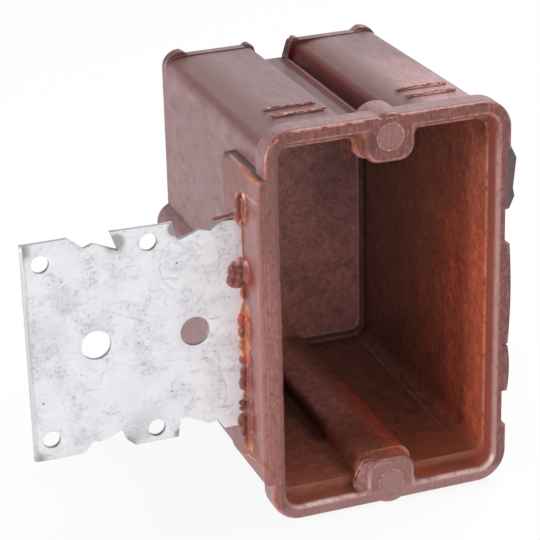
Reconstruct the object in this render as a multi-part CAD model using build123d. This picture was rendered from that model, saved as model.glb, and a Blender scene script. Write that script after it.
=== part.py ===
"""Single-gang moulded outlet box with a steel side bracket moulded into its left wall.

Frame: millimetres, +Z up, the origin at the centre of the front rim face. The opening faces -Y,
the box runs back along +Y, and the bracket stands out to -X.
"""
from build123d import *
from math import tan, radians
import os

# Rim around the opening
rim_width = 57.8
rim_depth = 7.0
rim_corner = 7.0
rim_edge = 0.9
rim_rear_edge = 2.2
lip_side = 3.5
lip_end = 3.4
lip_depth = 5.2
lip_corner = 3.2
lip_edge = 1.1

# Box behind the rim
box_depth = 73.8
overhang_side = 0.9
overhang_end = 3.35
draft_angle = 0.55
core_draft_angle = 1.3
box_corner = 4.2
outer_round = 3.0
crown_width = 9.0
crown_drop = 1.3
crown_round = 3.2
back_edge = 1.2
wall_side = 2.8
wall_end = 2.1
wall_back = 2.8
inner_corner = 3.0
panel_margin_side = 1.6
panel_margin_end = 2.3
panel_rise = 0.8
panel_corner = 2.5

# Channel along the middle of the top and of the underside
channel_depth = 5.55
channel_foot = 4.55
channel_flare = 0.85
channel_round = 1.1
rail_width = 0.85
rail_ramp = 1.65
rail_rise = 0.5
ridge_wall = 1.9
ridge_round_share = 0.68
ridge_foot_share = 0.22

# Device screw bosses, on the standard spacing of 3-9/32 in
screw_spacing = 83.34
screw_to_edge = 4.73
hood_half = 5.9
hood_corner = 3.6
dome_radius = 5.35
boss_length = 10.0
boss_end_round = 1.0
boss_root_round = 2.0
disc_radius = 2.75
disc_groove = 0.5
disc_groove_depth = 0.4

# Rear plate, squarer than the blocks in front of it, with a lug on each of its corners
plate_length = 3.4
plate_rise = 0.25
plate_foot = 3.6
plate_flare = 1.6
lug_rise = 1.1
lug_width = 4.4
lug_slope = 1.7
lug_round = 4.1
lug_length = 2.4
lug_inset = 0.5
tip_rise = 0.45
tip_width = 2.2

# Scored ribs across the raised blocks
score_length = 11.8
score_width = 0.9
score_rise = 0.35
score_first = 19.3
score_pitch = 5.2
score_inset_left = 8.5
score_inset_right = 3.9

# Left wall: the pad that holds the bracket, and the rounded rib behind it
pad_rise = 2.6
pad_height = 72.6
pad_length = 22.5
pad_round = 0.9
pad_corner = 2.5
rib_radius = 5.0
rib_rise = 3.2
rib_z = 0.3
rib_end_inset = 0.6

# Right side of the rim: a relieved length with two low pads and a broken stub
relief_top = 34.5
relief_bottom = -33.2
relief_depth = 1.4
side_pad_top = 12.0
side_pad_bottom = -24.4
side_pad_split = -12.8
side_pad_gap = 0.5
side_pad_rise = 1.45
side_pad_bulge = 0.5
side_pad_depth = 6.2
stub_height = 14.9
stub_rise = 3.6
stub_front = 2.2
stub_round = 0.6

# Bracket: flat steel sheet, sheared along both long edges
sheet = 1.2
bracket_setback = 10.0
bracket_reach = 49.2
bracket_height = 50.8
bracket_z = 0.7
bracket_embed = 3.4
bracket_end_round = 0.8
nail_hole_d = 4.0
pilot_hole_d = 6.8
outer_inset = 4.0
outer_hole_edge = 4.8
outer_column_z = 0.7
inner_column = 21.3
inner_hole_edge = 3.25
inner_column_z = 0.25
outer_pilot = 34.0
outer_pilot_z = 0.6
inner_pilot = 11.6
inner_pilot_z = -0.2

# Worked out from the sizes above
half_w = rim_width / 2
screw_z = screw_spacing / 2
half_h = screw_z + screw_to_edge
body_w = half_w - overhang_side
body_h = half_h - overhang_end
taper = tan(radians(draft_angle))
core_taper = tan(radians(core_draft_angle))
cavity_end = box_depth - wall_back
pad_face = body_w + pad_rise
channel_floor = body_h - channel_depth
channel_mouth = channel_foot + channel_flare
plate_front = box_depth - plate_length
relief_x = half_w - relief_depth


def at_depth(shape, y):
    """Put a sketch, drawn with X across and Y up, on the plane at this depth behind the rim face."""
    return Plane.XZ.offset(-y) * shape


def block(sketch, y_front, y_back):
    """Straight block of one section between two depths."""
    return extrude(at_depth(sketch, y_front), amount=-(y_back - y_front))


def corners(sketch, x, z, tol=0.01):
    """Vertices of a sketch at plus or minus x and z."""
    return [v for v in sketch.vertices() if abs(abs(v.X) - x) < tol and abs(abs(v.Y) - z) < tol]


def channel_side(side):
    """Side of the top channel: the flared wall, the narrow ledge at its foot and the ramp to the floor."""
    ledge = channel_foot - rail_width
    points = [(channel_foot, channel_floor + rail_rise), (ledge, channel_floor + rail_rise),
              (ledge - rail_ramp, channel_floor)]
    return [(side * x, z) for x, z in points]


def block_top(left, right, h):
    """Top of a raised block: flat, and crowned down to its left edge."""
    crown = TangentArc((left + crown_width, h), (left, h - crown_drop), tangent=(-1, 0))
    return [crown, Line((left + crown_width, h), (right, h))]


def blocks_section(y):
    """Section of the box at a depth, with a raised block on either side of each channel."""
    w, h = body_w - taper * y, body_h - plate_rise - taper * y
    lower = h - crown_drop
    half = block_top(-w, -channel_mouth, h) + block_top(channel_mouth, w, h)
    half += [Line((-w, 0), (-w, lower)), Line((w, h), (w, 0))]
    half += Polyline((-channel_mouth, h), *channel_side(-1), *reversed(channel_side(1)), (channel_mouth, lower)).edges()
    whole = make_face(half + [mirror(e, about=Plane.XZ) for e in half])
    whole = fillet(corners(whole, w, lower) + corners(whole, channel_mouth, lower), crown_round)
    whole = fillet(corners(whole, w, h), outer_round)
    return fillet(corners(whole, channel_mouth, h), channel_round)


def cavity_half(y):
    """Half width and half height of the inside at a depth."""
    return body_w - wall_side - core_taper * y, body_h - wall_end - core_taper * y


def cavity_profile(y):
    """Inside section at a depth: the walls, and a ridge under each channel."""
    w, h = cavity_half(y)
    crest = channel_floor - ridge_wall
    foot = channel_foot + channel_flare / 2 + ridge_wall
    right = [(foot, crest), (foot, h), (w, h)]
    right = right + [(x, -z) for x, z in reversed(right)]
    left = [(-x, z) for x, z in reversed(right)]
    sketch = make_face(Polyline(*right, *left, close=True))
    sketch = fillet(corners(sketch, w, h), inner_corner)
    sketch = fillet(corners(sketch, foot, crest), ridge_round_share * (h - crest))
    return fillet(corners(sketch, foot, h), ridge_foot_share * (h - crest))


def lip_profile():
    """Opening in the rim: a rounded rectangle with the two screw bosses reaching in."""
    half_z = half_h - lip_end
    opening = RectangleRounded(rim_width - 2 * lip_side, 2 * half_z, lip_corner)
    for side in (1, -1):
        opening -= hood(side)
    roots = [v for v in opening.vertices() if abs(v.X) < hood_half + 0.01 and abs(abs(v.Y) - half_z) < 0.01]
    return fillet(roots, boss_root_round)


def shell():
    """Box behind the rim, solid: the crowned blocks, and the squarer plate across the back."""
    blocks = loft([at_depth(blocks_section(0), 0), at_depth(blocks_section(plate_front + 1), plate_front + 1)])
    return blocks + rear_plate()


def rear_plate():
    """Plate across the back of the box, with a softened back edge and the channels narrowed in it."""
    near, far = [RectangleRounded(2 * (body_w - taper * y), 2 * (body_h - taper * y), box_corner)
                 for y in (plate_front, box_depth)]
    plate = loft([at_depth(near, plate_front), at_depth(far, box_depth)])
    plate = fillet(plate.faces().sort_by(Axis.Y)[-1].edges(), back_edge)
    mouth = plate_foot + plate_flare
    ledge = channel_floor + rail_rise
    notch = make_face(Polyline((-plate_foot, channel_floor), (plate_foot, channel_floor), (plate_foot, ledge),
                               (mouth, body_h), (mouth, body_h + 3), (-mouth, body_h + 3), (-mouth, body_h),
                               (-plate_foot, ledge), close=True))
    notch = block(notch, plate_front - 1, box_depth + 1)
    return plate - notch - mirror(notch, about=Plane.XY)


def rim():
    """Flange round the opening."""
    solid = block(RectangleRounded(rim_width, 2 * half_h, rim_corner), 0, rim_depth)
    solid = fillet(solid.faces().sort_by(Axis.Y)[0].edges(), rim_edge)
    return fillet(solid.faces().sort_by(Axis.Y)[-1].edges(), rim_rear_edge)


def relief():
    """Shallow recess along the right side of the rim."""
    height = relief_top - relief_bottom
    return Pos(relief_x + rim_width / 2, 0, relief_top - height / 2) * Box(rim_width, 2 * rim_depth, height)


def hood(side):
    """Outline of a screw boss inside the opening: square shouldered, towards the middle of the box."""
    root = half_h - lip_end - screw_z
    shoulder = Pos(0, side * (root - hood_half)) * Rectangle(2 * hood_half, 2 * hood_half)
    shoulder -= Pos(0, -side * 2 * hood_half) * Rectangle(2 * hood_half, 2 * hood_half)
    inner = [v for v in shoulder.vertices() if side * v.Y < 0]
    return Pos(0, side * screw_z) * (fillet(inner, hood_corner) + Circle(dome_radius))


def boss(side):
    """Screw boss along Y: hooded inside the box, and a dome standing in the channel outside."""
    core = block(hood(side), lip_edge, boss_length)
    core = fillet(core.edges().group_by(Axis.Y)[-1], boss_end_round)
    face = block(hood(side), 0, lip_edge + boss_end_round)
    outside = Pos(0, 0, side * (screw_z + rim_width)) * Box(rim_width, 4 * boss_length, 2 * rim_width)
    nose = block(Circle(dome_radius), 0, boss_length / 2)
    nose = Pos(0, 0, side * screw_z) * fillet(nose.edges().sort_by(Axis.Y)[0], rim_edge)
    return core + (face - outside) + nose


def disc_ring(side):
    """Groove round the plain disc at the middle of each boss."""
    ring = Circle(disc_radius + disc_groove) - Circle(disc_radius)
    return Pos(0, 0, side * screw_z) * block(ring, -1, disc_groove_depth)


def lugs():
    """Lug on each outer corner of the rear plate, and a small tip on each corner beside the channels."""
    w, h = body_w - taper * box_depth, body_h - taper * box_depth
    peak = w - lug_width
    outline = make_face(Polyline((peak - lug_slope, h - 0.1), (peak, h + lug_rise), (w, h + lug_rise),
                                 (w, h - lug_width), (peak, h - lug_width), close=True))
    outline = fillet(corners(outline, w, h + lug_rise), lug_round)
    back = box_depth - lug_inset
    upper = Part()
    lug = block(outline, back - lug_length, back)
    lug = fillet(lug.faces().sort_by(Axis.Z)[-1].edges(), lug_inset)
    mouth = plate_foot + plate_flare
    tip = make_face(Polyline((mouth - 0.3, h - 1), (mouth + 0.4, h + tip_rise), (mouth + 1.2, h + tip_rise),
                             (mouth + tip_width, h - 0.2), (mouth + tip_width, h - 1), close=True))
    tip = block(tip, back - lug_length, back)
    upper = lug + tip
    upper += mirror(upper, about=Plane.YZ)
    return upper + mirror(upper, about=Plane.XY)


def scored_ribs():
    """Two pairs of low ribs across the top of the blocks, near the rim."""
    ribs = Part()
    for n in range(2):
        y = score_first + n * score_pitch
        z = body_h - taper * y
        rib = Pos(0, y, z) * Box(score_length, score_width, 2 * score_rise)
        rib = chamfer(rib.faces().sort_by(Axis.Z)[-1].edges().filter_by(Axis.X), score_rise * 0.6)
        ribs += Pos(-body_w + score_inset_left + score_length / 2, 0, 0) * rib
        ribs += Pos(body_w - score_inset_right - score_length / 2, 0, 0) * rib
    return ribs


def bracket_pad():
    """Thick pad on the left wall, from the rim face back, that the bracket is moulded into."""
    inner = body_w - wall_side / 2
    pad = Pos(-(pad_face + inner) / 2, pad_length / 2, 0) * Box(pad_face - inner, pad_length, pad_height)
    back_corners = [e for e in pad.edges().filter_by(Axis.X) if e.center().Y > pad_length / 2]
    pad = fillet(back_corners, pad_corner)
    return fillet(pad.faces().sort_by(Axis.X)[0].edges(), pad_round)


def side_rib():
    """Half-round rib along the left wall behind the pad."""
    axis_x = -(body_w - taper * box_depth + rib_rise - rib_radius)
    start = pad_length - pad_round - 0.5
    rib = block(Circle(rib_radius), start, box_depth - rib_end_inset)
    rib = fillet(rib.edges().sort_by(Axis.Y)[-1], back_edge)
    return Pos(axis_x, 0, rib_z) * rib


def side_pads():
    """Low pads and the broken stub on the relieved right side of the rim."""
    root = relief_x - wall_side / 2
    face = relief_x + side_pad_rise
    pads = Part()
    for z_top, z_bottom in ((side_pad_top, side_pad_split + side_pad_gap / 2),
                            (side_pad_split - side_pad_gap / 2, side_pad_bottom)):
        crest = (face + side_pad_bulge, (z_top + z_bottom) / 2)
        sides = Polyline((face, z_bottom), (root, z_bottom), (root, z_top), (face, z_top))
        pad = make_face([ThreePointArc((face, z_top), crest, (face, z_bottom))] + sides.edges())
        pads += block(pad, rim_edge / 2, rim_edge / 2 + side_pad_depth)
    outline = [(root, relief_top), (relief_x + stub_rise * 0.6, relief_top)]
    outline += [(relief_x + stub_rise * reach, relief_top - stub_height * share)
                for reach, share in ((1.0, 0.2), (0.8, 0.68), (0.92, 0.8), (0.55, 1.0))]
    outline += [(root, relief_top - stub_height)]
    stub = make_face(Polyline(*outline, close=True))
    stub = fillet([v for v in stub.vertices() if v.X > relief_x], stub_round)
    return pads + block(stub, stub_front, rim_depth - rim_edge / 2)


def cavity():
    """Inside of the box: the wide mouth in the rim, the deep part, and the step round the back panel."""
    deep = loft([at_depth(cavity_profile(lip_depth), lip_depth), at_depth(cavity_profile(cavity_end), cavity_end)])
    mouth = block(lip_profile(), -1, lip_depth)
    w, h = cavity_half(cavity_end)
    w, h = w - panel_margin_side, h - panel_margin_end
    panel = block(RectangleRounded(2 * w, 2 * h, panel_corner), cavity_end - panel_rise, cavity_end + 1)
    panel = fillet(panel.faces().sort_by(Axis.Y)[0].edges(), panel_rise / 2)
    return deep - panel, mouth


def bracket_sheet():
    """Flat blank of the bracket, with the sheared notches of its two long edges and its six holes."""
    free_end = -(pad_face + bracket_reach)
    buried_end = -(pad_face - bracket_embed)
    top = bracket_z + bracket_height / 2
    bottom = bracket_z - bracket_height / 2
    root = -pad_face
    outline = Polyline(
        (free_end, bottom), (free_end, top),
        (root - 39.0, top), (root - 35.6, top - 2.8), (root - 33.4, top - 2.1), (root - 28.0, top - 4.5),
        (root - 29.6, top), (root - 15.6, top - 0.3),
        (root - 14.8, top - 4.6), (root - 9.8, top - 2.8), (root - 7.4, top - 3.4), (root - 5.0, top - 1.7),
        (root - 1.8, top - 1.7), (root - 0.1, top - 4.4), (buried_end, top - 4.4),
        (buried_end, bottom - 0.4), (root - 5.6, bottom - 0.4),
        (root - 7.2, bottom + 1.9), (root - 9.3, bottom + 1.5), (root - 14.2, bottom + 4.0), (root - 15.8, bottom + 3.9),
        (root - 16.4, bottom - 0.4), (root - 26.4, bottom - 0.4), (root - 28.2, bottom + 1.2), (root - 29.2, bottom + 4.0),
        (root - 33.6, bottom + 2.1), (root - 35.8, bottom + 2.4), (root - 38.4, bottom),
        close=True)
    blank = make_face(outline)
    for x, z in nail_holes():
        blank -= Pos(x, z) * Circle(nail_hole_d / 2)
    for x, z in pilot_holes():
        blank -= Pos(x, z) * Circle(pilot_hole_d / 2)
    return blank


def nail_holes():
    """Centres of the four nail holes, in two columns of different pitch."""
    half = bracket_height / 2
    columns = ((bracket_reach - outer_inset, outer_column_z, half - outer_hole_edge),
               (inner_column, inner_column_z, half - inner_hole_edge))
    return [(-pad_face - x, z + side * rise) for x, z, rise in columns for side in (1, -1)]


def pilot_holes():
    """Centres of the two larger holes on the middle line."""
    return [(-pad_face - outer_pilot, outer_pilot_z), (-pad_face - inner_pilot, inner_pilot_z)]


def mounting_bracket():
    """Steel bracket, set back from the rim face by the thickness of the wall lining."""
    plate = block(bracket_sheet(), bracket_setback, bracket_setback + sheet)
    free_end = -(pad_face + bracket_reach)
    end_edge = [e for e in plate.edges().filter_by(Axis.Z)
                if abs(e.center().X - free_end) < 0.01 and abs(e.center().Y - bracket_setback) < 0.01]
    return fillet(end_edge, bracket_end_round)


def box_body(bracket):
    """The moulded box, one piece, closed round the buried edge of the bracket."""
    solid = shell() + rim() - relief() + bracket_pad() + side_rib() + lugs() + scored_ribs()
    deep, mouth = cavity()
    solid = solid - deep - mouth
    for side in (1, -1):
        solid += boss(side)
    lip_x = half_w - lip_side
    lip_z = half_h - lip_end
    lip_edges = [e for e in solid.edges() if abs(e.center().Y) < 0.01 and abs(e.center().X) < lip_x + 0.1
                 and abs(e.center().Z) < lip_z + 0.1]
    solid = fillet(lip_edges, lip_edge)
    for side in (1, -1):
        solid -= disc_ring(side)
    solid += side_pads()
    return solid - bracket


bracket = mounting_bracket()
body = box_body(bracket)

os.makedirs("parts", exist_ok=True)
export_step(body, "parts/box_body.step")
export_step(bracket, "parts/mounting_bracket.step")
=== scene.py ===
"""Moulded outlet box with its galvanised side bracket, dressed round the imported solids.

Lengths written here are millimetres, in the row frame: origin at the centre of the rim face, +Y into
the box, +Z up, the bracket to -X. MM turns them into Blender's metres. The materials work from the
same point, so a mask such as z.up(27.0, 34.0) names a place on the object.
"""
import math
import random
from functools import reduce

import bmesh
import bpy
import numpy as np
from mathutils import Matrix, Vector, noise


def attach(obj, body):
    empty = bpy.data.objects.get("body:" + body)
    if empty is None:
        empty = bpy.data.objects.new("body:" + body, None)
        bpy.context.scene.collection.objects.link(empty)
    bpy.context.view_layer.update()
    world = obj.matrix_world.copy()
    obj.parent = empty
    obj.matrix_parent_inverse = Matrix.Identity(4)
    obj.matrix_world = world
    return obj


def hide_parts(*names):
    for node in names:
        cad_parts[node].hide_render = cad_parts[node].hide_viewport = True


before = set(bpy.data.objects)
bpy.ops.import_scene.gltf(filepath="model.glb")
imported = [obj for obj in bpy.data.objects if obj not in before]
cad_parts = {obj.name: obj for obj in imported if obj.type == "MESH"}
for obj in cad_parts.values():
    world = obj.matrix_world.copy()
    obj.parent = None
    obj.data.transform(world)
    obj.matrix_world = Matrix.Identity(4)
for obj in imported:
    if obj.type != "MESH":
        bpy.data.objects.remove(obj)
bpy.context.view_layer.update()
noise.seed_set(7)       # else the lumps would come out differently each run

MM = 0.001
FLOOR_Z = -47.1
PAD_X = -30.6           # the pad's face, which the bracket enters
SHEET_Y = 10.0          # front face of the bracket
SHEET_MID_Y = 10.6      # middle of its thickness
BOSS_Z = 41.67          # screw bosses, up and down from the middle
DISC_RADIUS = 3.0
STAMP = (-42.8, 16.3)   # centre of the half ring pressed into the sheet
STAMP_RADIUS = 6.9
RESIN_IOR = 1.56

# rounded rectangles of the moulding, looking along Y: half width, half height, corner
OPENING = (25.4, 43.0, 3.2)
HOOD = (5.9, 9.63, 3.6)
HOOD_Z = 45.4
RIM = (28.9, 46.4, 7.0)
WALLS = (26.5, 41.35, 5.0)
WALL_DRAFT = 0.016
RIDGE_Z = 36.5
BACK_PANEL = (22.0, 37.0, 2.5)

# studio: a pale screen behind the object to the right, dimmer walls, and the level of the fill
SCREEN = (0.60, 0.75, 0.28)
SCREEN_GLOW = 0.90
ROOM = 0.22
AMBIENT = 0.34
PAPER = (0.82, 0.82, 0.82)
PAPER_REACH = 1.6       # metres

# the photograph's camera: angles in degrees, focal length and the row origin's place in its square frame
AZIMUTH, ELEVATION, ROLL = 20.280, 23.295, -1.487
FRAME_PX = 540.0
FOCAL_PX = 2199.6
ORIGIN_PX = (391.24, 315.24)
CAMERA_DEPTH = 484.37
SENSOR = 36.0

# skins of the moulding, and the tones that several places share
MAUVE = (0.208, 0.118, 0.123)
ROSE = (0.222, 0.100, 0.094)
RIM_RED = (0.232, 0.058, 0.047)
INNER = (0.240, 0.104, 0.074)
# painted light: orange brightening inside near the mouth, most on the right wall
PAINTED_MOUTH_LIGHT = (0.60, 0.128, 0.062)
# painted highlight on rounded edges that catch the light
LILAC_HIGHLIGHT = (0.47, 0.265, 0.250)
ORANGE = (0.42, 0.135, 0.062)
SALMON = (0.62, 0.33, 0.235)
# painted shade, for grooves, steps and the fronts of the rear tips
DEEP_SHADE = (0.075, 0.024, 0.019)
DARK_STREAK = (0.150, 0.060, 0.054)
PALE_STREAK = (0.330, 0.215, 0.225)
PALE_DOT = (0.80, 0.42, 0.27)

# inside
# painted light on the ridge inside: its right lit towards the front, its left lighter towards the back
RIDGE_PAINTED_LIGHT = (0.60, 0.125, 0.062)
RIDGE_BACK_PAINTED_LIGHT = (0.66, 0.31, 0.28)
# painted highlight along the foot of the right inner wall
CORNER_HIGHLIGHT = (0.62, 0.42, 0.36)
# painted highlight along the ledge under the back panel
PANEL_FOOT_HIGHLIGHT = (0.55, 0.33, 0.30)
# painted shadow in the valley left of the ridge
VALLEY_SHADE = (0.045, 0.016, 0.014)
# painted light on the floor left of the ridge, towards the front
BESIDE_RIDGE_LIGHT = (0.52, 0.20, 0.145)
BACK = (0.44, 0.180, 0.166)
# painted highlight round the back panel's edge
PANEL_EDGE_HIGHLIGHT = (0.62, 0.36, 0.33)
# painted light on the inner floor near the mouth, right and left
SILL_RIGHT_LIGHT = (0.52, 0.155, 0.090)
SILL_LEFT_LIGHT = (0.46, 0.130, 0.080)

# lip of the opening and face of the rim
# painted glint along the bottom of the opening's edge
PAINTED_GLINT = (1.0, 0.70, 0.68)
LIP_WALL = (0.27, 0.068, 0.050)
# painted light on the lip's wall low down, left and right
LIP_LOW_LEFT_LIGHT = (0.38, 0.100, 0.060)
LIP_LOW_RIGHT_LIGHT = (0.50, 0.125, 0.072)
# worn edges and painted highlight: pale broken lines on the opening's edge and the rim's outer edge
LIP_WEAR_AND_GLINT = (0.60, 0.25, 0.17)
RIM_WEAR_AND_GLINT = (0.66, 0.30, 0.22)
# the rim face lighter and pinker on the left
LEFT_FACE_PALER = (0.42, 0.158, 0.135)
PALE_GRIT = (0.44, 0.195, 0.165)
DARK_GRIT = (0.12, 0.035, 0.035)
LEFT_LIP = (0.24, 0.072, 0.048)
LEFT_LIP_WEAR = (0.52, 0.20, 0.13)
BITE = (0.115, 0.012, 0.008)
SHOULDER = (0.15, 0.058, 0.052)
# painted highlight down the rim's left edge
LEFT_EDGE_HIGHLIGHT = (0.55, 0.25, 0.19)
CHIP = (0.62, 0.32, 0.26)
UPPER_LEFT = (0.135, 0.045, 0.040)
# painted highlight on the rim's bottom rail
BOTTOM_RAIL_HIGHLIGHT = (0.46, 0.26, 0.25)
# painted shade at the left root of the upper boss
BOSS_ROOT_SHADE = (0.11, 0.022, 0.018)
DISC = (0.40, 0.205, 0.185)
# painted highlight on the lower boss's face
LOWER_BOSS_HIGHLIGHT = (0.44, 0.225, 0.205)

# outside: channel, blocks and right side
# painted shade in the channel and on the right block's flank
CHANNEL_SIDE_SHADE = (0.100, 0.006, 0.004)
FLANK_SHADE = (0.110, 0.005, 0.003)
# painted shade on the crowned left edges of both blocks
CROWN_SHADE = (0.128, 0.050, 0.045)
# painted shade on the channel floor
CHANNEL_FLOOR_SHADE = (0.100, 0.052, 0.055)
# painted highlights on the channel's ledge and the left block's brink
LEDGE_HIGHLIGHT = (0.36, 0.225, 0.230)
REAR_CORNER = (0.33, 0.105, 0.08)
RELIEF = (0.135, 0.068, 0.080)

# the pad
# painted shade above the pad, at its far corner and on its upper face
PAD_ABOVE_SHADE = (0.12, 0.048, 0.044)
PAD_FAR_CORNER_SHADE = (0.085, 0.032, 0.030)
PAD_TOP_SHADE = (0.130, 0.050, 0.042)
PAD_SHADOW = (0.17, 0.062, 0.055)
STAIN = (0.165, 0.030, 0.015)
FOOT_LINE = (0.20, 0.058, 0.032)

# zinc
ZINC = (0.96, 0.95, 0.99)
ZINC_CLOUD = (0.82, 0.82, 0.86)
ZINC_DIRT = (0.44, 0.44, 0.455)
ZINC_HAIR = (0.30, 0.30, 0.31)
ZINC_SCUFF = (0.45, 0.45, 0.46)
ZINC_MARK = (0.27, 0.27, 0.28)
ZINC_RUBBED = (0.40, 0.40, 0.41)
CUT_EDGE = (0.36, 0.365, 0.37)
SHEET_END = (0.47, 0.47, 0.48)

# flash and burrs
RAW_DARK, RAW_LIGHT = (0.33, 0.105, 0.050), (0.60, 0.29, 0.18)
RING_DARK, RING_LIGHT = (0.44, 0.19, 0.165), (0.64, 0.37, 0.33)
BURR_BLOT = (0.24, 0.08, 0.05)

# resin that crept over the pad beside the bracket: place along Y and Z, and reach
STAINS = (
    (8.6, 27.0, 2.8, 4.0), (7.4, 12.2, 4.4, 4.2), (8.4, 7.6, 1.8, 2.2), (8.2, -0.6, 3.2, 3.4),
    (8.6, -5.4, 1.8, 1.5), (8.2, -8.4, 2.6, 2.2), (7.8, -13.4, 3.4, 3.2), (8.4, -18.6, 2.6, 2.0),
    (8.0, -23.6, 3.4, 3.6), (7.4, -29.2, 3.8, 3.0))

# colour of the squeezed-out resin down the bracket: height, then colour
RESIN = (
    (-31.0, (0.45, 0.17, 0.09)), (-28.5, (0.24, 0.066, 0.045)), (-24.0, (0.21, 0.055, 0.042)),
    (-21.2, (0.24, 0.08, 0.06)), (-20.2, (0.12, 0.04, 0.036)), (-17.5, (0.27, 0.09, 0.06)),
    (-14.0, (0.19, 0.050, 0.040)), (-10.5, (0.21, 0.054, 0.038)), (-8.2, (0.36, 0.09, 0.05)),
    (-5.2, (0.48, 0.165, 0.075)), (-3.0, (0.25, 0.072, 0.050)), (-1.0, (0.34, 0.09, 0.055)),
    (1.3, (0.44, 0.070, 0.035)), (4.0, (0.34, 0.15, 0.10)), (7.2, (0.36, 0.10, 0.055)),
    (9.5, (0.27, 0.085, 0.08)), (13.6, (0.20, 0.055, 0.048)), (15.2, (0.52, 0.25, 0.20)),
    (16.2, (0.34, 0.16, 0.11)), (22.0, (0.30, 0.12, 0.08)), (23.8, (0.45, 0.13, 0.055)),
    (25.5, (0.21, 0.058, 0.045)), (29.6, (0.19, 0.052, 0.045)), (30.5, (0.66, 0.34, 0.22)))

# marks pressed and scratched into the sheet: ends, half width and depth of tone; then pits
SCRATCHES = (
    ((-60.5, 7.5), (-52.4, 3.7), 0.30, 0.35), ((-36.3, -12.7), (-35.6, -14.6), 0.35, 0.45),
    ((-35.6, -14.6), (-35.5, -17.0), 0.35, 0.45), ((-35.5, -17.0), (-36.2, -19.4), 0.35, 0.45),
    ((-70.2, -4.5), (-66.8, -6.6), 0.22, 0.3), ((-74.0, 6.5), (-73.2, 0.5), 0.22, 0.25))
PITS = (
    ((-71.5, 16.8), 0.7), ((-45.7, 16.6), 0.6), ((-77.2, -10.9), 0.6), ((-42.0, -16.8), 0.7),
    ((-48.2, -13.6), 0.5), ((-56.9, 18.3), 0.5), ((-63.2, -16.0), 0.4), ((-33.6, 13.4), 0.5))

# teeth of the sheet's cut edges: place, reach and push along Y
BENDS = (
    ((-45.6, 24.6), 3.4, 0.75), ((-59.2, 23.6), 4.2, 0.45), ((-41.0, 22.8), 3.0, -0.3),
    ((-37.3, 23.6), 2.8, -0.4), ((-46.4, -24.6), 3.0, 0.45), ((-59.0, -24.8), 3.4, 0.35),
    ((-79.5, 25.0), 6.0, 0.35), ((-79.5, -24.6), 6.0, 0.3))

# resin round the bracket, on the sheet and on the pad: centres and radii
ON_SHEET = (
    ((-31.5, 9.9, 28.4), (0.95, 0.65, 2.3)), ((-31.5, 9.9, 26.0), (0.95, 0.60, 2.3)),
    ((-30.3, 9.7, 28.4), (0.70, 0.60, 2.2)), ((-30.2, 9.7, 25.8), (0.65, 0.55, 1.9)),
    ((-30.9, 9.9, 23.6), (0.60, 0.45, 1.3)), ((-32.6, 9.95, 12.6), (1.75, 0.55, 2.3)),
    ((-33.2, 9.95, 10.4), (1.55, 0.50, 1.7)), ((-32.0, 9.9, 9.6), (1.7, 0.5, 1.4)),
    ((-31.4, 9.8, 14.4), (1.1, 0.55, 1.2)), ((-31.5, 9.9, 11.8), (1.2, 0.6, 3.0)),
    ((-31.0, 9.8, 7.0), (0.65, 0.45, 1.5)), ((-31.45, 9.8, 0.6), (1.05, 0.55, 1.7)),
    ((-31.4, 9.8, -2.0), (1.05, 0.5, 1.9)), ((-30.9, 9.8, 3.2), (0.6, 0.4, 1.0)),
    ((-31.4, 9.8, -5.5), (1.0, 0.5, 1.35)), ((-31.35, 9.8, -9.0), (1.15, 0.5, 1.1)),
    ((-30.9, 9.8, -7.4), (0.7, 0.4, 1.4)), ((-31.3, 9.8, -12.3), (1.0, 0.5, 1.7)),
    ((-31.45, 9.8, -14.8), (1.15, 0.5, 1.9)), ((-31.0, 9.8, -17.6), (0.75, 0.4, 1.2)),
    ((-31.6, 9.8, -19.6), (1.25, 0.5, 0.75)), ((-31.6, 9.8, -21.0), (1.2, 0.45, 0.7)),
    ((-31.75, 9.8, -24.0), (1.5, 0.5, 1.9)), ((-31.5, 9.8, -26.6), (1.2, 0.45, 1.6)),
    ((-31.1, 9.8, -29.4), (0.95, 0.4, 2.0)), ((-36.2, 10.1, 25.3), (1.3, 0.45, 0.40)),
    ((-34.4, 10.1, 25.5), (1.3, 0.40, 0.38)), ((-32.8, 10.1, 25.7), (1.1, 0.4, 0.36)))
ON_PAD = (
    ((-30.5, 8.6, 27.3), (0.45, 1.7, 3.6)), ((-30.45, 8.2, 12.4), (0.28, 2.2, 3.2)),
    ((-30.45, 8.7, -0.6), (0.27, 1.5, 2.8)), ((-30.45, 8.6, -8.4), (0.27, 1.4, 1.8)),
    ((-30.45, 8.4, -13.4), (0.27, 1.8, 2.6)), ((-30.45, 8.6, -18.8), (0.27, 1.4, 1.4)),
    ((-30.45, 8.4, -24.0), (0.27, 1.8, 3.0)), ((-30.45, 8.2, -29.0), (0.27, 1.9, 2.2)))

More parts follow.
